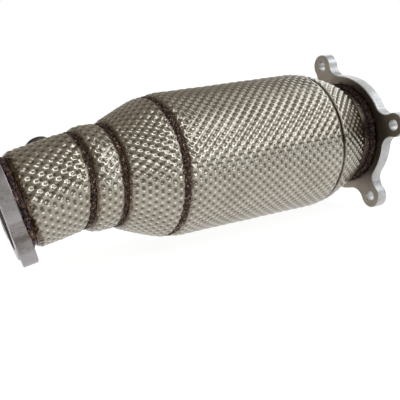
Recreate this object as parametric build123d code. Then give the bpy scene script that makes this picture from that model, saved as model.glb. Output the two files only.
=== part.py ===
from build123d import *
import math
import os

# Turbo downpipe. The frame has its origin at the middle of the turbo flange's gasket face.
# The catalyst body lies along -X from there and +Z is up. Millimetres and degrees.
# A direction round the pipe is a roll: 0 points up, 90 points to -Y.

# Turbo flange, a star with five lugs set unevenly round the bore
flange_thickness = 12.0
flange_ring_width = 10.9
flange_roll = 31.0
lug_offsets = (-50.5, 50.5, 118.0, 180.0, 242.0)
lug_reach = 14.9
lug_radius = 11.8
lug_blend = 13.0
bolt_hole_radius = 5.5
flange_edge = 0.7

# Inlet cone, spun in one with the neck that is welded into the turbo flange
neck_radius = 47.6
neck_length = 18.0
cone_wall = 2.0
socket_depth = 6.0
flange_to_can = 68.0

# Catalyst can and the honeycomb inside it
can_radius = 59.0
can_wall = 1.5
can_length = 169.0
honeycomb_inset = 9.5
honeycomb_pitch = 13.0
honeycomb_web = 1.6
honeycomb_rim = 3.0

# Outlet cone, reducer and outlet pipe
outlet_cone_length = 46.5
reducer_length = 27.3
reducer_step = 3.9
joint_step = 0.2
pipe_radius = 38.1
pipe_wall = 1.6
pipe_length = 53.0
bend_angle = 15.5
bend_roll = 40.8

# Outlet flange, three bolts evenly spaced
outlet_flange_thickness = 12.0
outlet_ring_width = 6.9
outlet_lug_reach = 9.0
outlet_corner_radius = 12.0
outlet_blend = 14.0
outlet_hole_radius = 5.5
outlet_lip = 0.5
outlet_flange_roll = 0.0

# Oxygen sensor boss, M18 x 1.5
boss_thread_radius = 8.25
boss_wall = 3.25
boss_height = 12.0
boss_station = 14.5
boss_roll = -50.0
boss_opening_gap = 1.0

# Embossed foil shields. A hem is the gap to the steel where a shield is pinched at a seam.
shield_wall = 1.0
emboss_depth = 1.1
emboss_pitch = 9.2
emboss_row = 4.9
edge_gap = 1.6
pinch_width = 11.0
body_hem_outlet = 0.7
body_hem_inlet = 4.4
inlet_hem_can = 4.0
inlet_bulge = 1.0
bare_neck = 16.0
cone_hem_can = 1.1
cone_bulge = 0.6
collar_hem_mitre = 1.8
collar_hem_reducer = 0.7
pipe_hem = 0.5
bare_pipe = 6.0

# Thickness of the insulation between the steel and each shield
body_blanket_outlet = 3.1
body_blanket_inlet = 5.3
inlet_blanket_can = 4.9
inlet_blanket_neck = 1.7
cone_blanket_can = 2.7
cone_blanket_reducer = 2.1
collar_blanket = 1.3
pipe_blanket = 1.3
blanket_clearance = 0.15
blanket_inset = 7.0

# Weld beads
bead_height = 1.9
flange_bead_height = 3.0

flange_ring_radius = neck_radius + flange_ring_width
lug_bolt_radius = flange_ring_radius + lug_reach
outlet_ring_radius = pipe_radius + outlet_ring_width
outlet_bolt_radius = outlet_ring_radius + outlet_lug_reach
reducer_radius = pipe_radius + reducer_step
joint_radius = pipe_radius - joint_step
boss_radius = boss_thread_radius + boss_wall
neck_x = -flange_thickness - neck_length
can_inlet_x = -flange_to_can
can_outlet_x = can_inlet_x - can_length
reducer_x = can_outlet_x - outlet_cone_length
mitre_x = reducer_x - reducer_length
outlet_face_x = -pipe_length - outlet_flange_thickness
lean = math.tan(math.radians(bend_angle))
pipe_frame = Location((mitre_x, 0, 0)) * Rot(X=bend_roll) * Rot(Y=-bend_angle) * Rot(X=-bend_roll)
mitre_plane = Plane.YZ.offset(mitre_x)
sensor_frame = pipe_frame * Location((-boss_station, 0, 0)) * Rot(X=boss_roll)


def lathe(points):
    return revolve(make_face(Polyline(*points, close=True)), Axis.X)


def pipe_section(x0, r0, x1, r1, wall):
    return lathe([(x0, r0 - wall), (x0, r0), (x1, r1), (x1, r1 - wall)])


def roll_point(radius, roll):
    a = math.radians(roll)
    return (-radius * math.sin(a), radius * math.cos(a))


def plate(sketch, x0, x1):
    return extrude(Plane.YZ.offset(x0) * sketch, x1 - x0)


# Flanges
def lugged_outline(ring, bolt_circle, lug, blend, rolls):
    """A ring with a round lug at each roll, each lug blended into the ring by two hollow arcs."""
    far = ring + blend
    spread = math.acos((far ** 2 + bolt_circle ** 2 - (lug + blend) ** 2) / (2 * far * bolt_circle))
    spread = math.degrees(spread)
    arcs = []
    for k, roll in enumerate(rolls):
        middle = Vector(*roll_point(bolt_circle, roll))
        touch = []
        for side in (-1, 1):
            hollow = Vector(*roll_point(far, roll + side * spread))
            on_ring = Vector(*roll_point(ring, roll + side * spread))
            on_lug = middle + (hollow - middle).normalized() * lug
            inward = ((on_ring + on_lug) * 0.5 - hollow).normalized()
            touch.append((on_ring, hollow + inward * blend, on_lug))
        tip = Vector(*roll_point(bolt_circle + lug, roll))
        arcs.append(ThreePointArc(*touch[0]))
        arcs.append(ThreePointArc(touch[0][2], tip, touch[1][2]))
        arcs.append(ThreePointArc(touch[1][2], touch[1][1], touch[1][0]))
        following = rolls[(k + 1) % len(rolls)] + (360 if k == len(rolls) - 1 else 0)
        halfway = Vector(*roll_point(ring, (roll + following) / 2))
        end = Vector(*roll_point(ring, following - spread))
        arcs.append(ThreePointArc(touch[1][0], halfway, end))
    return make_face(arcs)


def socketed_flange(outline, bolts, bolt_hole, outer, inner, radius, wall):
    """A plate from its outer face at x = outer to x = inner, with a socket for the pipe on the inner side."""
    blank = plate(outline, min(outer, inner), max(outer, inner))
    blank = chamfer(blank.faces().filter_by(Axis.X).edges(), flange_edge)
    seat = inner + math.copysign(socket_depth, outer - inner)
    blank -= lathe([(outer, 0), (outer, radius - wall), (seat, radius - wall), (seat, radius), (inner, radius),
                    (inner, 0)])
    for y, z in bolts:
        blank -= plate(Pos(y, z) * Circle(bolt_hole), min(outer, inner), max(outer, inner))
    return blank


def turbo_flange():
    rolls = [flange_roll + offset for offset in lug_offsets]
    outline = lugged_outline(flange_ring_radius, lug_bolt_radius, lug_radius, lug_blend, rolls)
    bolts = [roll_point(lug_bolt_radius, roll) for roll in rolls]
    return socketed_flange(outline, bolts, bolt_hole_radius, 0, -flange_thickness, neck_radius, cone_wall)


def outlet_flange():
    rolls = [outlet_flange_roll + k * 120 for k in range(3)]
    outline = lugged_outline(outlet_ring_radius, outlet_bolt_radius, outlet_corner_radius, outlet_blend, rolls)
    bolts = [roll_point(outlet_bolt_radius, roll) for roll in rolls]
    return pipe_frame * socketed_flange(
        outline, bolts, outlet_hole_radius, outlet_face_x, -pipe_length, pipe_radius, pipe_wall + outlet_lip)


# Pressed and rolled steel pipework
def inlet_cone():
    socket_x = -flange_thickness + socket_depth
    return lathe([(socket_x, neck_radius - cone_wall), (socket_x, neck_radius), (neck_x, neck_radius),
                  (can_inlet_x, can_radius), (can_inlet_x, can_radius - cone_wall),
                  (neck_x, neck_radius - cone_wall)])


def catalyst_can():
    return pipe_section(can_outlet_x, can_radius, can_inlet_x, can_radius, can_wall)


def honeycomb():
    bore = can_radius - can_wall
    cell = honeycomb_pitch - honeycomb_web
    steps = math.floor(bore / honeycomb_pitch)
    places = []
    for i in range(-steps, steps + 1):
        for j in range(-steps, steps + 1):
            far = math.hypot(abs(i) * honeycomb_pitch + cell / 2, abs(j) * honeycomb_pitch + cell / 2)
            if far < bore - honeycomb_rim:
                places.append((i * honeycomb_pitch, j * honeycomb_pitch))
    core = Circle(bore) - [Pos(y, z) * Rectangle(cell, cell) for y, z in places]
    return plate(core, can_outlet_x + honeycomb_inset, can_inlet_x - honeycomb_inset)


def outlet_cone():
    return pipe_section(reducer_x, reducer_radius, can_outlet_x, can_radius, cone_wall)


def reducer(wall):
    return pipe_section(mitre_x, joint_radius, reducer_x, reducer_radius, wall)


def mitred_pipe(wall):
    """The outlet pipe, cut square to the body's axis where it meets the reducer."""
    pipe = pipe_section(outlet_face_x + socket_depth, pipe_radius, pipe_radius, pipe_radius, wall)
    return split(pipe_frame * pipe, bisect_by=mitre_plane, keep=Keep.BOTTOM)


def outlet_pipe():
    pipe = mitred_pipe(pipe_wall)
    drill = sensor_frame * Pos(0, 0, pipe_radius) * Cylinder(boss_thread_radius, pipe_radius)
    return pipe - drill


def sensor_boss():
    top = pipe_radius + boss_height
    boss = Pos(0, 0, top / 2) * Cylinder(boss_radius, top)
    boss -= Pos(0, 0, top / 2) * Cylinder(boss_thread_radius, top)
    rim = boss.faces().sort_by(Axis.Z)[-1].edges().sort_by(SortBy.RADIUS)[-1]
    boss = chamfer(rim, flange_edge)
    boss -= lathe([(-boss_radius, 0), (-boss_radius, pipe_radius), (boss_radius, pipe_radius), (boss_radius, 0)])
    return sensor_frame * boss


# Foil shields
def crest(x, ends, pinches, bulge):
    (x0, r0), (x1, r1) = ends
    u = (x - x0) / (x1 - x0)
    low = max(0.0, 1 - (x - x0) / pinch_width)
    high = max(0.0, 1 - (x1 - x) / pinch_width)
    swell = bulge * math.sin(math.pi * u)
    return r0 + (r1 - r0) * u + swell - pinches[0] * low ** 2 - pinches[1] * high ** 2


def lining(ends, pinches, bulge):
    """Stations and radii of a shield's plain inner face."""
    x0, x1 = ends[0][0], ends[1][0]
    reach = min(pinch_width, (x1 - x0) / 3)
    return [(x, crest(x, ends, pinches, bulge) - skin) for x in (x0, x0 + reach, x1 - reach, x1)]


def lining_radius(x, line):
    for (xa, ra), (xb, rb) in zip(line, line[1:]):
        if x <= xb:
            return ra + (rb - ra) * max(0.0, x - xa) / (xb - xa)
    return line[-1][1]


def column_count(ends):
    return 2 * round(math.pi * max(radius for station, radius in ends) / emboss_row)


def foil_shield(ends, pinches, bulge=0.0, skews=(0.0, 0.0)):
    """A closed skin of small pyramids on a diamond lattice, with a plain inner face."""
    x0, x1 = ends[0][0], ends[1][0]
    columns = column_count(ends)
    rows = max(3, round((x1 - x0) / (emboss_pitch / 2)))
    turn = 2 * math.pi / columns

    def ring(x, radii):
        u = (x - x0) / (x1 - x0)
        skew = skews[0] * (1 - u) + skews[1] * u
        points = []
        for j, r in enumerate(radii):
            a = j * turn
            shift = skew * r * math.cos(a - math.radians(bend_roll))
            points.append(Vector(x + shift, -r * math.sin(a), r * math.cos(a)))
        return points

    def embossed_ring(i):
        x = x0 + i * (x1 - x0) / rows
        top = crest(x, ends, pinches, bulge)
        hem = i in (0, rows)
        return ring(x, [top if (i + j) % 2 and not hem else top - emboss_depth for j in range(columns)])

    def band(low, high, row, outward):
        faces = []
        for j in range(columns):
            k = (j + 1) % columns
            a, b, c, d = low[j], low[k], high[k], high[j]
            if (row + j) % 2:
                parts = ((a, b, d), (b, c, d))
            else:
                parts = ((a, b, c), (a, c, d))
            for part in parts:
                order = part if outward else part[::-1]
                faces.append(Face(Wire.make_polygon(order, close=True)))
        return faces

    outer = [embossed_ring(i) for i in range(rows + 1)]
    inner = [ring(x, [r] * columns) for x, r in lining(ends, pinches, bulge)]
    faces = []
    for i in range(rows):
        faces += band(outer[i], outer[i + 1], i, True)
    for i in range(len(inner) - 1):
        faces += band(inner[i], inner[i + 1], 0, False)
    faces += band(outer[0], inner[0], 0, False)
    faces += band(outer[-1], inner[-1], 0, True)
    return Solid(Shell(faces))


def blanket(ends, pinches, bulge, steel, reach=0.0):
    """Insulation between the steel radius at each station and the inside of a shield.

    A reach makes it longer at the high end, where a mitre then cuts it."""
    x0, x1 = ends[0][0], ends[1][0]
    inset = min(blanket_inset, (x1 - x0) / 3)
    line = lining(ends, pinches, bulge)
    flat = math.cos(math.pi / column_count(ends))

    def cover(x):
        return min(lining_radius(x + side * reach, line) for side in (-1, 0, 1)) * flat - blanket_clearance

    stop = x1 - inset + reach
    stations = sorted({x0 + inset, stop} | {x for x, r in line if x0 + inset < x < stop})
    return lathe([(x, cover(x)) for x in stations] + [(x, steel(x)) for x in reversed(stations)])


def pipe_blanket_ring():
    reach = pipe_crest * lean
    ring = pipe_frame * blanket(pipe_ends, pipe_pinches, 0.0, steel_pipe, reach)
    return split(ring, bisect_by=Plane.YZ.offset(mitre_x - blanket_inset), keep=Keep.BOTTOM)


def boss_opening(solid):
    hole = sensor_frame * Pos(0, 0, pipe_radius + boss_height / 2) * Cylinder(
        boss_radius + boss_opening_gap, boss_height * 2)
    return solid - hole


skin = shield_wall + emboss_depth
body_ends = ((can_outlet_x + edge_gap, can_radius + body_blanket_outlet + skin),
             (can_inlet_x - edge_gap / 2, can_radius + body_blanket_inlet + skin))
body_pinches = (body_blanket_outlet - body_hem_outlet, body_blanket_inlet - body_hem_inlet)
inlet_ends = ((can_inlet_x + edge_gap / 2, can_radius + inlet_blanket_can + skin),
              (-flange_thickness - bare_neck, neck_radius + inlet_blanket_neck + skin))
inlet_pinches = (inlet_blanket_can - inlet_hem_can, 0.0)
cone_ends = ((reducer_x + edge_gap, reducer_radius + cone_blanket_reducer + skin),
             (can_outlet_x - edge_gap, can_radius + cone_blanket_can + skin))
cone_pinches = (0.0, cone_blanket_can - cone_hem_can)
collar_crest = reducer_radius + collar_blanket + skin
collar_ends = ((mitre_x + edge_gap, collar_crest), (reducer_x - edge_gap, collar_crest))
collar_pinches = (collar_crest - skin - collar_hem_mitre - pipe_radius, collar_blanket - collar_hem_reducer)
pipe_crest = pipe_radius + pipe_blanket + skin
pipe_ends = ((-pipe_length + bare_pipe, pipe_crest), (-edge_gap, pipe_crest))
pipe_pinches = (pipe_blanket - pipe_hem, pipe_blanket - pipe_hem)


# Outer radius of the steel under each blanket and bead
def steel_inlet(x):
    return max(neck_radius, can_radius + (x - can_inlet_x) * (neck_radius - can_radius) / (neck_x - can_inlet_x))


def steel_can(x):
    return can_radius


def steel_outlet(x):
    return reducer_radius + (x - reducer_x) * (can_radius - reducer_radius) / outlet_cone_length


def steel_collar(x):
    return joint_radius + (x - mitre_x) * (reducer_radius - joint_radius) / reducer_length


def steel_pipe(x):
    return pipe_radius + blanket_clearance


# Weld beads, humped rings that sit on the steel between two shields
def socket_bead(x, radius, side):
    height = flange_bead_height
    return lathe([(x, radius), (x, radius + height), (x + side * height / 2, radius + height * 0.8),
                  (x + side * height * 1.6, radius)])


def cone_bead(x, low_steel, high_steel):
    half = edge_gap
    return lathe([(x - half, low_steel(x - half)), (x - half / 2, low_steel(x) + bead_height),
                  (x + half / 2, high_steel(x) + bead_height), (x + half, high_steel(x + half)),
                  (x, high_steel(x))])


def mitre_bead():
    ring = lathe([(mitre_x - edge_gap, pipe_radius - pipe_wall), (mitre_x - edge_gap / 2, pipe_radius + bead_height),
                  (mitre_x + edge_gap / 2, pipe_radius + bead_height), (mitre_x + edge_gap, pipe_radius - pipe_wall)])
    return ring - reducer(pipe_radius * 0.9) - mitred_pipe(pipe_radius * 0.9)


def boss_bead():
    ring = Pos(0, 0, pipe_radius) * Cylinder(boss_radius + boss_opening_gap * 0.8, bead_height * 2)
    ring -= Pos(0, 0, pipe_radius) * Cylinder(boss_radius, bead_height * 4)
    ring -= lathe([(-2 * boss_radius, 0), (-2 * boss_radius, pipe_radius), (2 * boss_radius, pipe_radius),
                   (2 * boss_radius, 0)])
    return sensor_frame * ring


parts = {
    "turbo_flange": turbo_flange(),
    "inlet_cone": inlet_cone(),
    "catalyst_can": catalyst_can(),
    "catalyst_honeycomb": honeycomb(),
    "outlet_cone": outlet_cone(),
    "outlet_reducer": reducer(pipe_wall),
    "outlet_pipe": outlet_pipe(),
    "outlet_flange": outlet_flange(),
    "sensor_boss": sensor_boss(),
    "shield_inlet_cone": foil_shield(inlet_ends, inlet_pinches, inlet_bulge),
    "shield_body": foil_shield(body_ends, body_pinches),
    "shield_outlet_cone": foil_shield(cone_ends, cone_pinches, cone_bulge),
    "shield_collar": foil_shield(collar_ends, collar_pinches),
    "shield_outlet_pipe": boss_opening(pipe_frame * foil_shield(pipe_ends, pipe_pinches, 0.0, (0.0, lean))),
    "insulation_inlet_cone": blanket(inlet_ends, inlet_pinches, inlet_bulge, steel_inlet),
    "insulation_body": blanket(body_ends, body_pinches, 0.0, steel_can),
    "insulation_outlet_cone": blanket(cone_ends, cone_pinches, cone_bulge, steel_outlet),
    "insulation_collar": blanket(collar_ends, collar_pinches, 0.0, steel_collar),
    "insulation_outlet_pipe": boss_opening(pipe_blanket_ring()),
    "weld_turbo_flange": socket_bead(-flange_thickness, neck_radius, -1),
    "weld_can_outlet": cone_bead(can_outlet_x, steel_outlet, steel_can),
    "weld_reducer": cone_bead(reducer_x, steel_collar, steel_outlet),
    "weld_mitre": mitre_bead(),
    "weld_outlet_flange": pipe_frame * socket_bead(-pipe_length, pipe_radius, 1),
    "weld_sensor_boss": boss_bead(),
}

os.makedirs("parts", exist_ok=True)
for name, solid in parts.items():
    export_step(solid, f"parts/{name}.step")
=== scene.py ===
"""Looks of the turbo downpipe: embossed foil, rough weld seams, heat-tinted steel, studio and camera."""
import math

import bpy
import numpy as np
from mathutils import Matrix, Vector


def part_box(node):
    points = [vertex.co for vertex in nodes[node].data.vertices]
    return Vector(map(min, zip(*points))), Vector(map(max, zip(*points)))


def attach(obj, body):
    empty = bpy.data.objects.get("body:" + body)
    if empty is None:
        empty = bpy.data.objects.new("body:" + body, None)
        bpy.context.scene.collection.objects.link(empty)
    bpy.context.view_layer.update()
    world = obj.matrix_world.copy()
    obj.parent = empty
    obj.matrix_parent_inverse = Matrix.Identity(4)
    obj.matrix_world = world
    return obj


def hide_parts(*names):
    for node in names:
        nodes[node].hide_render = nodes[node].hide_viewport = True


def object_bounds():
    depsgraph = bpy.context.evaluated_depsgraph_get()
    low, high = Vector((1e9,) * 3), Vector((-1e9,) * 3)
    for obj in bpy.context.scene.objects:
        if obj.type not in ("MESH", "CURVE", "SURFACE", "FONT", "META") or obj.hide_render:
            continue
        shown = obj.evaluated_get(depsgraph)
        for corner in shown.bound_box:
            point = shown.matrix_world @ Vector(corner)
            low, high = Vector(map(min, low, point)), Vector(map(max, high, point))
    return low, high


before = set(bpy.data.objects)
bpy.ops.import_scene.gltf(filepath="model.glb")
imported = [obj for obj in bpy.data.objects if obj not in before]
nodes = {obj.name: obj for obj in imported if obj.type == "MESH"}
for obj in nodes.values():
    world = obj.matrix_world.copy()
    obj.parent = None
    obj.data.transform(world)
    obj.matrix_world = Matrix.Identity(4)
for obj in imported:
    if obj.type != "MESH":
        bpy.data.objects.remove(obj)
cad_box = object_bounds()
MM = 0.001

# Stations along the body's axis, read from the frame
flange_back_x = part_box("turbo_flange")[0].x
can_outlet_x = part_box("catalyst_can")[0].x
can_inlet_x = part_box("catalyst_can")[1].x
reducer_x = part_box("outlet_cone")[0].x

# Neck, outlet pipe with its bend, and the hole in its foil for the sensor boss, sized as in the solids
neck_radius = 47.6 * MM
pipe_radius = 38.1 * MM
pipe_length = 53.0 * MM
mitre_x = reducer_x - 27.3 * MM
bend_angle = math.radians(15.5)
bend_roll = math.radians(40.8)
boss_station = -14.5 * MM
boss_roll = math.radians(-50.0)
boss_hole_radius = 12.5 * MM
boss_hole_depth = 30 * MM
boss_hole_middle = 45 * MM

# The foil's embossing: round bumps in staggered rows
emboss_depth = 1.1 * MM
emboss_pitch = 9.2 * MM
emboss_row = 4.15 * MM
shield_wall = 1.0 * MM

# The foil's ends: a gap beside the seam, a plain hem, the length over which the bumps rise, and the pinch
edge_gap = 1.6 * MM
hem_rise = 1.8 * MM
hem_plain = 0.4 * hem_rise
pinch_width = 11.0 * MM

# Where the foil stops short of the two flanges, the second one counted along the outlet pipe
neck_foil_x = flange_back_x - 16.0 * MM
pipe_foil_x = -pipe_length + 6.0 * MM

# Handling marks on the foil: shallow dents everywhere and creases beside its ends
dent_height = 0.12 * MM
dent_lengths = (25 * MM, 80 * MM)
crease_lengths = (4 * MM, 11 * MM)
crease_reach = 6 * MM

# The value that the foil's inner face gets for its pressed height, where 0 is a valley and 1 a crest
inner_pressed = 0.4

# Weld seams: mesh steps, the base that lies under the pipe's surface, and the place beside a flange
bead_rows = 16
steps_per_ripple = 6
base_share = 0.3
bead_root = 0.8 * MM
flange_bead_gap = 2.2 * MM
flange_bead_sink = 0.2 * MM

# Form and roughness of the seams, as shares of a bead's width, height or ripple, and wavelengths
hump_power = 0.75
ripple_power = 1.6
ripple_middle = 0.4
ripple_share = 0.16
ripple_bow = 0.28
wander_share = 0.10
width_share = 0.12
ragged_share = 0.11
lump_share = 0.30
wander_lengths = (12 * MM, 60 * MM)
lump_lengths = (2 * MM, 7 * MM)
ragged_lengths = (2.5 * MM, 8 * MM)


def about_x(angle):
    return Matrix.Rotation(angle, 4, "X")


def along_x(distance):
    return Matrix.Translation((distance, 0, 0))


straight = Matrix.Identity(4)
mitre_place = along_x(mitre_x)
pipe_frame = mitre_place @ about_x(bend_roll) @ Matrix.Rotation(-bend_angle, 4, "Y") @ about_x(-bend_roll)
boss_frame = pipe_frame @ along_x(boss_station) @ about_x(boss_roll)


# Mesh helpers
def link_mesh(name, mesh):
    piece = bpy.data.objects.new(name, mesh)
    bpy.context.scene.collection.objects.link(piece)
    return piece


def pipe_points(along, angle, radius):
    """Points round a pipe's axis, with the angle counted from +Z towards -Y."""
    return np.stack([along, -radius * np.sin(angle), radius * np.cos(angle)], axis=-1)


def grid_piece(name, grid, place):
    """A closed surface from rings of points round a pipe, where the last ring meets the first."""
    rows, columns = grid.shape[:2]
    low = np.arange(rows * columns).reshape(rows, columns)
    high = np.roll(low, -1, axis=0)
    corners = [low, np.roll(low, -1, axis=1), np.roll(high, -1, axis=1), high]
    quads = np.stack(corners, axis=-1).reshape(-1, 4)
    mesh = bpy.data.meshes.new(name)
    mesh.vertices.add(rows * columns)
    mesh.vertices.foreach_set("co", grid.astype(np.float32).ravel())
    mesh.loops.add(quads.size)
    mesh.loops.foreach_set("vertex_index", quads.astype(np.int32).ravel())
    mesh.polygons.add(len(quads))
    mesh.polygons.foreach_set("loop_start", np.arange(0, quads.size, 4, dtype=np.int32))
    mesh.polygons.foreach_set("use_smooth", np.ones(len(quads), dtype=bool))
    mesh.update(calc_edges=True)
    mesh.validate()
    mesh.transform(place)
    return link_mesh(name, mesh)


def ripple_noise(seed, count, lengths):
    """A smooth random field of distance along a pipe and angle: seeded waves between two wavelengths."""
    rng = np.random.default_rng(seed)
    low, high = lengths
    waves = []
    for _ in range(count):
        length = low * (high / low) ** rng.random()
        heading = rng.random() * 2 * math.pi
        waves.append((math.cos(heading) / length, math.sin(heading) / length, rng.random()))

    def field(along, angle, radius):
        total = 0.0
        for kx, ky, phase in waves:
            turns = max(1, round(abs(ky) * 2 * math.pi * radius)) * math.copysign(1, ky)
            total = total + np.sin(2 * math.pi * (kx * along + phase) + turns * angle)
        return total / math.sqrt(count)

    return field


def smooth_step(t):
    t = np.clip(t, 0, 1)
    return t * t * (3 - 2 * t)


# Foil shields
def crest(x, ends, pinches, bulge):
    """The foil's crest radius at x: a straight or bulged line between its ends, pinched in at each."""
    (x0, r0), (x1, r1) = ends
    u = (x - x0) / (x1 - x0)
    low = np.clip(1 - (x - x0) / pinch_width, 0, None)
    high = np.clip(1 - (x1 - x) / pinch_width, 0, None)
    return r0 + (r1 - r0) * u + bulge * np.sin(math.pi * u) - pinches[0] * low ** 2 - pinches[1] * high ** 2


def foil_shield(name, node, ends, pinches, samples, crumple, seed, bulge=0.0, place=straight, skew=0.0):
    """Embossed foil round the pipe, closed by hems and a plain inner face.

    ends and pinches go from low x to high x, and samples is the mesh steps to a row or half a pitch.
    crumple is the height of the creases, and skew slants the high end."""
    (x0, r0), (x1, r1) = ends
    bumps = 2 * round(math.pi * max(r0, r1) / emboss_row)
    waves = max(3, round((x1 - x0) / (emboss_pitch / 2)))
    middle = (r0 + r1) / 2
    angle = np.linspace(0, 2 * math.pi, bumps * samples, endpoint=False)[None, :]
    x = np.linspace(x0, x1, waves * samples + 1)[:, None]
    dents = ripple_noise(seed, count=9, lengths=dent_lengths)(x, angle, middle)
    creases = ripple_noise(seed + 1, count=16, lengths=crease_lengths)(x, angle, middle)
    phase = math.pi * waves * (x - x0) / (x1 - x0)
    edge = np.minimum(x - x0, x1 - x)
    raised = smooth_step((edge - hem_plain) / hem_rise)
    bump = (0.5 - 0.5 * np.cos(phase) * np.cos(bumps / 2 * angle)) * raised
    near_seam = np.exp(-((edge / crease_reach) ** 2))
    radius = crest(x, ends, pinches, bulge) - emboss_depth + emboss_depth * bump
    radius = radius + dents * dent_height + creases * crumple * near_seam * raised
    inner_x = np.linspace(x1, x0, 5)[:, None]
    inner_radius = crest(inner_x, ends, pinches, bulge) - emboss_depth - shield_wall + 0 * angle

    def rings(x, radius):
        shift = skew * (x - x0) / (x1 - x0) * radius * np.cos(angle - bend_roll)
        return pipe_points(x + shift, angle, radius)

    piece = grid_piece(name, np.concatenate([rings(x, radius), rings(inner_x, inner_radius)]), place)
    pressed = piece.data.attributes.new("pressed", "FLOAT", "POINT")
    heights = np.concatenate([bump, inner_pressed + 0 * inner_radius])
    pressed.data.foreach_set("value", heights.astype(np.float32).ravel())
    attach(piece, "root")
    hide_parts(node)
    return piece


body_ends = ((can_outlet_x + edge_gap, 64.2 * MM), (can_inlet_x - edge_gap / 2, 66.4 * MM))
inlet_ends = ((can_inlet_x + edge_gap / 2, 66.0 * MM), (neck_foil_x, 51.4 * MM))
cone_ends = ((reducer_x + edge_gap, 46.2 * MM), (can_outlet_x - edge_gap, 63.8 * MM))
collar_ends = ((mitre_x + edge_gap, 45.4 * MM), (reducer_x - edge_gap, 45.4 * MM))
pipe_ends = ((pipe_foil_x, 41.5 * MM), (-edge_gap, 41.5 * MM))

foil_body = foil_shield("foil_body", "shield_body", body_ends, pinches=(2.4 * MM, 0.9 * MM),
                        samples=5, crumple=0.15 * MM, seed=11)
foil_inlet = foil_shield("foil_inlet_cone", "shield_inlet_cone", inlet_ends, pinches=(0.9 * MM, 0.0),
                         samples=6, crumple=0.12 * MM, seed=23, bulge=1.0 * MM)
foil_cone = foil_shield("foil_outlet_cone", "shield_outlet_cone", cone_ends, pinches=(0.0, 1.6 * MM),
                        samples=6, crumple=0.2 * MM, seed=37, bulge=0.6 * MM)
foil_collar = foil_shield("foil_collar", "shield_collar", collar_ends, pinches=(3.4 * MM, 0.6 * MM),
                          samples=6, crumple=0.22 * MM, seed=41)
foil_pipe = foil_shield("foil_outlet_pipe", "shield_outlet_pipe", pipe_ends, pinches=(0.8 * MM, 0.8 * MM),
                        samples=6, crumple=0.2 * MM, seed=59, place=pipe_frame, skew=math.tan(bend_angle))


def cut_round_hole(piece, place, radius, height):
    """Cuts a round hole through a piece, along the place's Z and centred on its origin."""
    bpy.ops.mesh.primitive_cylinder_add(vertices=64, radius=radius, depth=height)
    cutter = bpy.context.active_object
    cutter.matrix_world = place
    hole = piece.modifiers.new("hole", "BOOLEAN")
    hole.operation = "DIFFERENCE"
    hole.solver = "EXACT"
    hole.object = cutter
    bpy.context.view_layer.update()
    shown = piece.evaluated_get(bpy.context.evaluated_depsgraph_get())
    cut = bpy.data.meshes.new_from_object(shown)
    piece.modifiers.remove(hole)
    piece.data = cut
    bpy.data.objects.remove(cutter)


boss_hole_place = boss_frame @ Matrix.Translation((0, 0, boss_hole_middle))
cut_round_hole(foil_pipe, boss_hole_place, boss_hole_radius, boss_hole_depth)


# Weld seams
def weld_bead(name, node, place, x, foot, height, width, ripples, seed, foot_slope=0.0, lopsided=0.0):
    """A ring of overlapping weld ripples on a pipe of radius foot, at x along the place's axis."""
    angle = np.linspace(0, 2 * math.pi, ripples * steps_per_ripple, endpoint=False)[None, :]
    across = np.linspace(-1, 1, bead_rows + 1)[:, None]
    wander = ripple_noise(seed, count=8, lengths=wander_lengths)(0 * across, angle, foot)
    lump = ripple_noise(seed + 1, count=18, lengths=lump_lengths)(across * width, angle, foot)
    ragged = ripple_noise(seed + 2, count=18, lengths=ragged_lengths)(across * width, angle, foot)
    step = (angle * ripples / (2 * math.pi) + ripple_bow * across ** 2) % 1.0
    ripple = 1 + ripple_share * (step ** ripple_power - ripple_middle)
    hump = (1 - across ** 2) ** hump_power
    half = width / 2 * (1 + width_share * wander)
    along = x + across * half + wander_share * width * wander + ragged_share * width * ragged
    ground = foot + foot_slope * (across * width / 2)
    rise = height * hump * ripple * (1 + wander_share * wander + lopsided * across)
    radius = ground + rise + lump_share * height * lump * hump
    base_x = np.array([[x + base_share * width], [x - base_share * width]]) + 0 * angle
    base_radius = foot - bead_root + 0 * base_x
    grid = np.concatenate([pipe_points(along, angle, radius), pipe_points(base_x, angle, base_radius)])
    piece = grid_piece(name, grid, place)
    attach(piece, "root")
    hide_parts(node)
    return piece


can_bead = weld_bead("seam_can_outlet", "weld_can_outlet", straight, can_outlet_x, foot=60.6 * MM,
                     height=1.4 * MM, width=7.0 * MM, ripples=118, seed=101)
reducer_bead = weld_bead("seam_reducer", "weld_reducer", straight, reducer_x, foot=43.4 * MM,
                         height=1.2 * MM, width=5.4 * MM, ripples=84, seed=113, foot_slope=0.15)
mitre_bead = weld_bead("seam_mitre", "weld_mitre", mitre_place, 0.0, foot=39.7 * MM,
                       height=1.3 * MM, width=5.6 * MM, ripples=76, seed=127)
outlet_bead = weld_bead("seam_outlet_flange", "weld_outlet_flange", pipe_frame,
                        -pipe_length + flange_bead_gap, foot=pipe_radius - flange_bead_sink,
                        height=2.4 * MM, width=5.2 * MM, ripples=72, seed=131, lopsided=-0.5)
neck_bead = weld_bead("seam_turbo_flange", "weld_turbo_flange", straight,
                      flange_back_x - flange_bead_gap, foot=neck_radius - flange_bead_sink,
                      height=2.6 * MM, width=5.2 * MM, ripples=92, seed=139, lopsided=0.5)


# Material helpers
def pipe_axis(place):
    return place.to_3x3() @ Vector((1, 0, 0))


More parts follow.
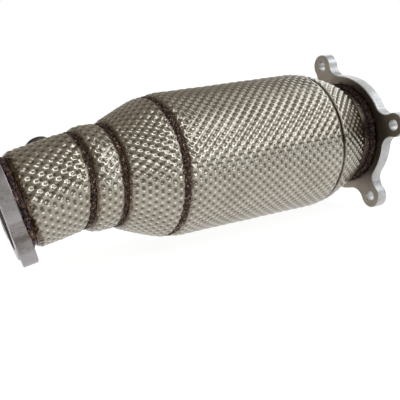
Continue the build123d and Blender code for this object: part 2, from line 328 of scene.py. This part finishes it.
class Nodes:
    """A small builder for a node tree. Distances are in metres and noise scales in waves per metre."""

    def __init__(self, name, world=None):
        self.owner = world or bpy.data.materials.new(name)
        self.owner.use_nodes = True
        self.tree = self.owner.node_tree
        self.tree.nodes.clear()

    def add(self, kind, inputs=None, **settings):
        node = self.tree.nodes.new(kind)
        for key, value in settings.items():
            setattr(node, key, value)
        for key, value in (inputs or {}).items():
            self.set(node.inputs[key], value)
        return node

    def set(self, socket, value):
        if isinstance(value, bpy.types.NodeSocket):
            self.tree.links.new(value, socket)
        elif isinstance(value, bpy.types.Node):
            self.tree.links.new(value.outputs[0], socket)
        else:
            socket.default_value = value

    def math(self, operation, a, b=0.0):
        return self.add("ShaderNodeMath", {0: a, 1: b}, operation=operation).outputs[0]

    def vector_math(self, operation, a, b):
        return self.add("ShaderNodeVectorMath", {0: a, 1: b}, operation=operation)

    def dot(self, a, b):
        return self.vector_math("DOT_PRODUCT", a, b).outputs["Value"]

    def position(self):
        return self.add("ShaderNodeTexCoord").outputs["Object"]

    def stretched(self, scales):
        return self.add("ShaderNodeMapping", {"Vector": self.position(), "Scale": scales}).outputs[0]

    def noise(self, scale, detail=3.0, roughness=0.55, vector=None):
        source = vector or self.position()
        inputs = {"Vector": source, "Scale": scale, "Detail": detail, "Roughness": roughness}
        return self.add("ShaderNodeTexNoise", inputs).outputs["Fac"]

    def ramp(self, factor, stops):
        node = self.add("ShaderNodeValToRGB", {"Fac": factor})
        elements = node.color_ramp.elements
        while len(elements) < len(stops):
            elements.new(0.5)
        for element, (position, colour) in zip(elements, stops):
            element.position = position
            element.color = (*colour, 1.0)
        return node.outputs["Color"]

    def span(self, value, low, high, to_low=0.0, to_high=1.0):
        """Moves a value smoothly from the range low to high into the range to_low to to_high."""
        inputs = {"Value": value, "From Min": low, "From Max": high, "To Min": to_low, "To Max": to_high}
        return self.add("ShaderNodeMapRange", inputs, interpolation_type="SMOOTHSTEP").outputs["Result"]

    def mix(self, factor, a, b):
        node = self.add("ShaderNodeMix", {"Factor": factor}, data_type="RGBA")
        for key, value in (("A", a), ("B", b)):
            socket = [s for s in node.inputs if s.name == key and s.type == "RGBA"][0]
            self.set(socket, (*value, 1.0) if isinstance(value, tuple) else value)
        return [s for s in node.outputs if s.type == "RGBA"][0]

    def station(self, place):
        """Distance along a pipe from the place's origin."""
        axis = pipe_axis(place)
        return self.math("SUBTRACT", self.dot(self.position(), axis), axis.dot(place.to_translation()))

    def from_station(self, place, station):
        """Distance along a pipe from a station, on either side of it."""
        return self.math("ABSOLUTE", self.math("SUBTRACT", self.station(place), station))

    def from_axis(self, place):
        """Distance from a pipe's axis."""
        axis_inputs = {0: pipe_axis(place), "Scale": self.station(place)}
        along = self.add("ShaderNodeVectorMath", axis_inputs, operation="SCALE")
        offset = self.vector_math("SUBTRACT", self.position(), along)
        return self.vector_math("DISTANCE", offset, place.to_translation()).outputs["Value"]

    def bump(self, height, strength, distance):
        inputs = {"Height": height, "Strength": strength, "Distance": distance}
        return self.add("ShaderNodeBump", inputs).outputs["Normal"]

    def surface(self, colour, roughness, normal, metallic=1.0):
        inputs = {"Base Color": colour, "Roughness": roughness, "Metallic": metallic, "Normal": normal}
        shader = self.add("ShaderNodeBsdfPrincipled", inputs)
        self.add("ShaderNodeOutputMaterial", {"Surface": shader})
        return self.owner


# Scale and temper colours of heated stainless steel
scale_black = (0.022, 0.015, 0.012)
scale_brown = (0.075, 0.050, 0.034)
tint_purple = (0.15, 0.09, 0.115)
tint_copper = (0.27, 0.15, 0.085)
tint_straw = (0.55, 0.47, 0.31)
tint_olive = (0.19, 0.16, 0.085)
tint_violet = (0.085, 0.035, 0.06)
tint_blue = (0.035, 0.042, 0.11)
tint_orange = (0.36, 0.18, 0.06)
browned = (0.17, 0.14, 0.10)

# Flecks of those colours, each list given as noise value and colour
dull_tints = [(0.36, scale_black), (0.46, scale_brown), (0.52, tint_olive), (0.56, scale_black),
              (0.62, tint_purple), (0.66, tint_copper), (0.72, tint_straw)]
vivid_tints = [(0.40, scale_black), (0.44, tint_blue), (0.48, scale_black), (0.54, scale_brown),
               (0.58, tint_violet), (0.61, scale_black), (0.66, tint_orange), (0.70, scale_brown),
               (0.76, tint_straw)]
seam_tints = [(0.42, scale_black), (0.50, scale_brown), (0.55, scale_black), (0.585, tint_purple),
              (0.62, tint_copper), (0.67, tint_straw)]
neck_tints = [(0.46, scale_black), (0.52, scale_brown), (0.56, scale_black), (0.60, tint_violet),
              (0.64, scale_black), (0.69, tint_orange), (0.74, tint_straw)]
outlet_tints = [(0.42, scale_black), (0.445, tint_blue), (0.47, scale_brown), (0.53, tint_purple),
                (0.56, scale_black), (0.60, tint_orange), (0.63, scale_brown), (0.67, tint_straw)]

# Colours of the foil, with painted shade in its valleys and a painted highlight on its crests
foil_dark = (0.29, 0.262, 0.214)
foil_grey = (0.34, 0.308, 0.257)
foil_light = (0.385, 0.353, 0.30)
painted_valley_shade = (0.08, 0.068, 0.052)
painted_crest_highlight = (0.74, 0.70, 0.62)

# Darkest and lightest shade of the other metals and of the fibre
plate_dark, plate_brown, plate_light = (0.20, 0.17, 0.14), (0.27, 0.235, 0.195), (0.34, 0.30, 0.26)
turbo_milled_dark, turbo_milled_light = (0.28, 0.277, 0.273), (0.50, 0.495, 0.49)
outlet_milled_dark, outlet_milled_light = (0.30, 0.28, 0.285), (0.38, 0.355, 0.36)
burnt_dark, burnt_light = (0.045, 0.034, 0.028), (0.10, 0.075, 0.06)
boss_dark, boss_light = (0.06, 0.055, 0.05), (0.12, 0.11, 0.10)
inner_dark, inner_light = (0.24, 0.21, 0.18), (0.36, 0.33, 0.29)
washcoat_dark, washcoat_light = (0.20, 0.17, 0.13), (0.30, 0.26, 0.20)
fibre_dark, fibre_light = (0.62, 0.60, 0.54), (0.84, 0.82, 0.77)


# Materials
def scorched(n, distance, plain, reach, tints=dull_tints):
    """Metal beside a weld, browned and flecked with scale and temper colours that thin out over a reach."""
    near = n.span(distance, 0.0, reach, 1.0, 0.0)
    fleck = n.noise(560.0, detail=2.0, roughness=0.6)
    blotch = n.noise(240.0, detail=3.0, roughness=0.6)
    flecks = n.ramp(n.noise(480.0, detail=2.0, roughness=0.6), tints)
    cover = n.math("ADD", n.math("MULTIPLY", fleck, 0.5), n.math("MULTIPLY", blotch, 0.5))
    cover = n.math("ADD", cover, n.math("MULTIPLY", near, 0.40))
    shade = n.mix(n.math("MULTIPLY", near, 0.6), plain, browned)
    return n.mix(n.span(cover, 0.68, 0.78), shade, flecks)


def foil_material(name, low_end, high_end):
    """Dulled embossed stainless foil, scorched at its two ends, each given as place, station and reach."""
    n = Nodes(name)
    patches = n.noise(34.0, detail=5.0, roughness=0.6)
    grain = n.noise(700.0, detail=2.0, roughness=0.5)
    colour = n.ramp(patches, [(0.3, foil_dark), (0.5, foil_grey), (0.7, foil_light)])
    pressed = n.add("ShaderNodeAttribute", attribute_name="pressed").outputs["Fac"]
    # Painted shade: the valleys of the embossing are darkened by their pressed height
    colour = n.mix(n.span(pressed, 0.05, 0.42, 0.85, 0.0), colour, painted_valley_shade)
    # Painted highlight: the crests of the embossing are lightened by their pressed height
    colour = n.mix(n.span(pressed, 0.80, 0.97, 0.0, 0.85), colour, painted_crest_highlight)
    for place, station, reach in (low_end, high_end):
        colour = scorched(n, n.from_station(place, station), colour, reach)
    roughness = n.span(patches, 0.3, 0.7, 0.13, 0.20)
    return n.surface(colour, roughness, n.bump(grain, strength=0.12, distance=0.3 * MM))


def weld_material(name, tints):
    """Rough scale on a weld, in patches of the tints."""
    n = Nodes(name)
    fine = n.noise(600.0, detail=3.0, roughness=0.65)
    colour = n.ramp(n.noise(440.0, detail=3.0, roughness=0.7), tints)
    roughness = n.span(fine, 0.3, 0.7, 0.25, 0.5)
    return n.surface(colour, roughness, n.bump(fine, strength=0.9, distance=1.2 * MM), metallic=0.9)


def burnt_material(name, place, weld_station, reach):
    """Pipe steel burnt near-black at its flange weld, flecked blue, violet, orange and straw."""
    n = Nodes(name)
    plain = n.ramp(n.noise(60.0, detail=4.0), [(0.35, burnt_dark), (0.65, burnt_light)])
    colour = scorched(n, n.from_station(place, weld_station), plain, reach, vivid_tints)
    fine = n.noise(500.0, detail=3.0)
    roughness = n.span(fine, 0.3, 0.7, 0.2, 0.4)
    return n.surface(colour, roughness, n.bump(fine, strength=0.5, distance=0.6 * MM))


def flange_material(name, place, inner_side, weld_radius, milled_dark, milled_light):
    """Plate with a dull warm face on its inner side, brown round the weld, and milled metal elsewhere.

    inner_side is 1 where the inner face looks along the pipe's axis, and -1 where it looks back."""
    n = Nodes(name)
    facing = n.dot(n.add("ShaderNodeNewGeometry").outputs["Normal"], pipe_axis(place))
    inner = n.span(n.math("MULTIPLY", facing, inner_side), 0.80, 0.97)
    patches = n.noise(48.0, detail=5.0, roughness=0.6)
    plain = n.ramp(patches, [(0.3, plate_dark), (0.55, plate_brown), (0.75, plate_light)])
    face = scorched(n, n.math("SUBTRACT", n.from_axis(place), weld_radius), plain, 9 * MM)
    milled = n.ramp(patches, [(0.3, milled_dark), (0.7, milled_light)])
    lines = n.noise(1.0, detail=2.0, roughness=0.5, vector=n.stretched((60.0, 900.0, 900.0)))
    roughness = n.math("ADD", n.span(lines, 0.3, 0.7, 0.26, 0.40), n.math("MULTIPLY", inner, 0.06))
    normal = n.bump(lines, strength=0.12, distance=0.2 * MM)
    return n.surface(n.mix(inner, milled, face), roughness, normal)


def plain_steel(name, dark, light, smoothest, roughest, scale=60.0):
    """Steel in soft patches between two shades, with a fine grain."""
    n = Nodes(name)
    patches = n.noise(scale, detail=4.0)
    fine = n.noise(600.0, detail=2.0)
    colour = n.ramp(patches, [(0.3, dark), (0.7, light)])
    roughness = n.span(patches, 0.3, 0.7, smoothest, roughest)
    return n.surface(colour, roughness, n.bump(fine, strength=0.2, distance=0.2 * MM))


def blanket_material():
    """Matt ceramic fibre."""
    n = Nodes("ceramic_fibre")
    fine = n.noise(400.0, detail=5.0, roughness=0.7)
    colour = n.ramp(fine, [(0.3, fibre_dark), (0.7, fibre_light)])
    return n.surface(colour, 0.95, n.bump(fine, strength=0.6, distance=1.0 * MM), metallic=0.0)


def dress(piece, material):
    piece.data.materials.clear()
    piece.data.materials.append(material)


# Foil, each end given as place, station and the scorching's reach
can_seam = (straight, can_outlet_x, 8 * MM)
reducer_seam = (straight, reducer_x, 8 * MM)
mitre_seam = (straight, mitre_x, 8 * MM)
inlet_seam = (straight, can_inlet_x, 2 * MM)
neck_seam = (straight, neck_foil_x, 6 * MM)
outlet_seam = (pipe_frame, pipe_foil_x, 9 * MM)
dress(foil_body, foil_material("foil_body", can_seam, inlet_seam))
dress(foil_inlet, foil_material("foil_inlet", inlet_seam, neck_seam))
dress(foil_cone, foil_material("foil_cone", reducer_seam, can_seam))
dress(foil_collar, foil_material("foil_collar", mitre_seam, reducer_seam))
dress(foil_pipe, foil_material("foil_pipe", outlet_seam, mitre_seam))

# Welds
foil_weld = weld_material("seam_scale", seam_tints)
for bead in (can_bead, reducer_bead, mitre_bead, nodes["weld_sensor_boss"]):
    dress(bead, foil_weld)
dress(outlet_bead, weld_material("outlet_weld_scale", outlet_tints))
dress(neck_bead, weld_material("neck_weld_scale", neck_tints))

# Flanges, boss and the pipes that show beside them
turbo_steel = flange_material("turbo_flange_steel", straight, -1, neck_radius,
                              turbo_milled_dark, turbo_milled_light)
outlet_steel = flange_material("outlet_flange_steel", pipe_frame, 1, pipe_radius,
                               outlet_milled_dark, outlet_milled_light)
dress(nodes["inlet_cone"], burnt_material("burnt_neck", straight, flange_back_x, 18 * MM))
dress(nodes["outlet_pipe"], burnt_material("burnt_pipe", pipe_frame, -pipe_length, 14 * MM))
dress(nodes["turbo_flange"], turbo_steel)
dress(nodes["outlet_flange"], outlet_steel)
dress(nodes["sensor_boss"], plain_steel("boss_steel", boss_dark, boss_light, 0.3, 0.45))

# Inside the shields
inner_steel = plain_steel("inner_steel", inner_dark, inner_light, 0.3, 0.5)
washcoat = plain_steel("washcoat", washcoat_dark, washcoat_light, 0.6, 0.8, scale=200.0)
fibre = blanket_material()
for node in ("catalyst_can", "outlet_cone", "outlet_reducer"):
    dress(nodes[node], inner_steel)
dress(nodes["catalyst_honeycomb"], washcoat)
for node in ("inlet_cone", "body", "outlet_cone", "collar", "outlet_pipe"):
    dress(nodes["insulation_" + node], fibre)

# Studio: a floor and horizon that show white, a dim warm ceiling, and soft cool lamps
floor_reach = 6.0
floor_lit = 0.80
floor_shown = 0.30
floor_glow = (0.88, 0.16)
floor_fade = (0.16, 0.30)
to_the_right = (0.698, -0.770, 0.0)
away_from_camera = (0.517, 0.856, 0.0)
horizon_fade = (0.12, 0.24)
side_fade = (0.55, 0.40)
horizon_colour = (1, 1, 1)
ceiling_colour = (0.42, 0.39, 0.345)
fill_colour = (1, 0.99, 0.97, 1)
fill_strength = 0.55
lamp_colour = (0.88, 0.94, 1.0)
lamp_target = Vector((-0.16, -0.03, 0.02))
panel_angle = 30


def show_background(n, lit, shown, output):
    """Gives the shown shader to camera, glossy and transmission rays, and the lit one to all others."""
    path = n.add("ShaderNodeLightPath").outputs
    seen = n.math("MAXIMUM", path["Is Camera Ray"], path["Is Glossy Ray"])
    seen = n.math("MAXIMUM", seen, path["Is Transmission Ray"])
    n.add(output, {"Surface": n.add("ShaderNodeMixShader", {0: seen, 1: lit, 2: shown})})


def studio_floor():
    """A matt floor that shows white and keeps the shadow. Its white fades beside the object, out of view."""
    mesh = bpy.data.meshes.new("floor")
    corners = ((-1, -1), (1, -1), (1, 1), (-1, 1))
    mesh.from_pydata([(x * floor_reach, y * floor_reach, 0) for x, y in corners], [], [(0, 1, 2, 3)])
    floor = link_mesh("floor", mesh)
    floor.location = (0, 0, cad_box[0].z)
    n = Nodes("white_floor")
    matt = n.add("ShaderNodeBsdfDiffuse", {"Color": (floor_lit, floor_lit, floor_lit, 1)})
    dim = n.add("ShaderNodeBsdfDiffuse", {"Color": (floor_shown, floor_shown, floor_shown, 1)})
    beside = n.dot(n.add("ShaderNodeNewGeometry").outputs["Position"], to_the_right)
    glow = n.add("ShaderNodeEmission", {"Strength": n.span(beside, *floor_fade, *floor_glow)})
    show_background(n, matt, n.add("ShaderNodeAddShader", {0: dim, 1: glow}), "ShaderNodeOutputMaterial")
    dress(floor, n.owner)


def studio_world():
    """A white horizon behind the object, with a dim warm room above it and on the other sides."""
    world = bpy.data.worlds.new("studio")
    bpy.context.scene.world = world
    n = Nodes("studio", world)
    direction = n.add("ShaderNodeTexCoord").outputs["Generated"]
    high = n.span(n.dot(direction, (0, 0, 1)), *horizon_fade)
    aside = n.span(n.dot(direction, away_from_camera), *side_fade)
    room = n.ramp(n.math("MAXIMUM", high, aside), [(0.0, horizon_colour), (1.0, ceiling_colour)])
    shown = n.add("ShaderNodeBackground", {"Color": room, "Strength": 1.0})
    fill = n.add("ShaderNodeBackground", {"Color": fill_colour, "Strength": fill_strength})
    show_background(n, fill, shown, "ShaderNodeOutputWorld")


def toward(azimuth, elevation):
    """A direction from two angles in degrees."""
    azimuth, elevation = math.radians(azimuth), math.radians(elevation)
    level = math.cos(elevation)
    return Vector((level * math.cos(azimuth), level * math.sin(azimuth), math.sin(elevation)))


def lamp_band(name, start, end, width, radiance, lamp_distance):
    """A long soft lamp: flat panels side by side along the arc between two directions. Angles in degrees."""
    start, end = toward(*start), toward(*end)
    panels = math.ceil(math.degrees(start.angle(end)) / panel_angle)
    step = start.angle(end) / panels
    axis = start.cross(end).normalized()
    length = 2 * lamp_distance * math.tan(step / 2)
    breadth = 2 * lamp_distance * math.tan(math.radians(width / 2))
    for k in range(panels):
        out = Matrix.Rotation(step * (k + 0.5), 3, axis) @ start
        data = bpy.data.lights.new("%s_%d" % (name, k), "AREA")
        data.shape = "RECTANGLE"
        data.size, data.size_y = length, breadth
        data.color = lamp_colour
        data.energy = radiance * math.pi * length * breadth
        lamp = bpy.data.objects.new(data.name, data)
        bpy.context.scene.collection.objects.link(lamp)
        across = axis.cross(out)
        turn = Matrix((across, out.cross(across), out)).transposed()
        lamp.matrix_world = Matrix.Translation(lamp_target + out * lamp_distance) @ turn.to_4x4()


studio_floor()
studio_world()
lamp_band("skirt", (-74.0, 22.9), (42.5, 18.7), width=17.0, radiance=1.7, lamp_distance=1.30)
lamp_band("front", (-103.4, 11.3), (-56.5, 13.5), width=11.5, radiance=2.2, lamp_distance=1.25)
lamp_band("slope", (-43.7, 5.5), (6.2, 72.3), width=21.4, radiance=0.8, lamp_distance=1.40)
lamp_band("upright", (-86.9, 7.8), (-122.2, 72.1), width=10.1, radiance=2.2, lamp_distance=1.35)
lamp_band("thin", (-94.7, 80.0), (-98.3, 21.5), width=5.3, radiance=2.5, lamp_distance=1.20)
lamp_band("low", (-85.0, -9.0), (-15.0, -9.0), width=5.0, radiance=1.7, lamp_distance=0.42)

# Camera, placed where the fit to the photograph puts it
camera_place = Vector((-520.2, -545.4, 93.4)) * MM
camera_right = Vector((0.8430, -0.5304, -0.0893))
camera_up = Vector((0.1824, 0.1258, 0.9752))
focal_pixels = 700.0
frame_pixels = 400.0
sensor_width = 36.0
camera_data = bpy.data.cameras.new("camera")
camera_data.sensor_width = sensor_width
camera_data.lens = sensor_width * focal_pixels / frame_pixels
camera_data.clip_start = 0.01
camera = bpy.data.objects.new("camera", camera_data)
bpy.context.scene.collection.objects.link(camera)
camera_back = camera_right.cross(camera_up).normalized()
camera_axes = Matrix((camera_right.normalized(), camera_back.cross(camera_right).normalized(), camera_back))
camera.matrix_world = Matrix.Translation(camera_place) @ camera_axes.transposed().to_4x4()
bpy.context.scene.camera = camera
bpy.context.scene.view_settings.view_transform = "Standard"
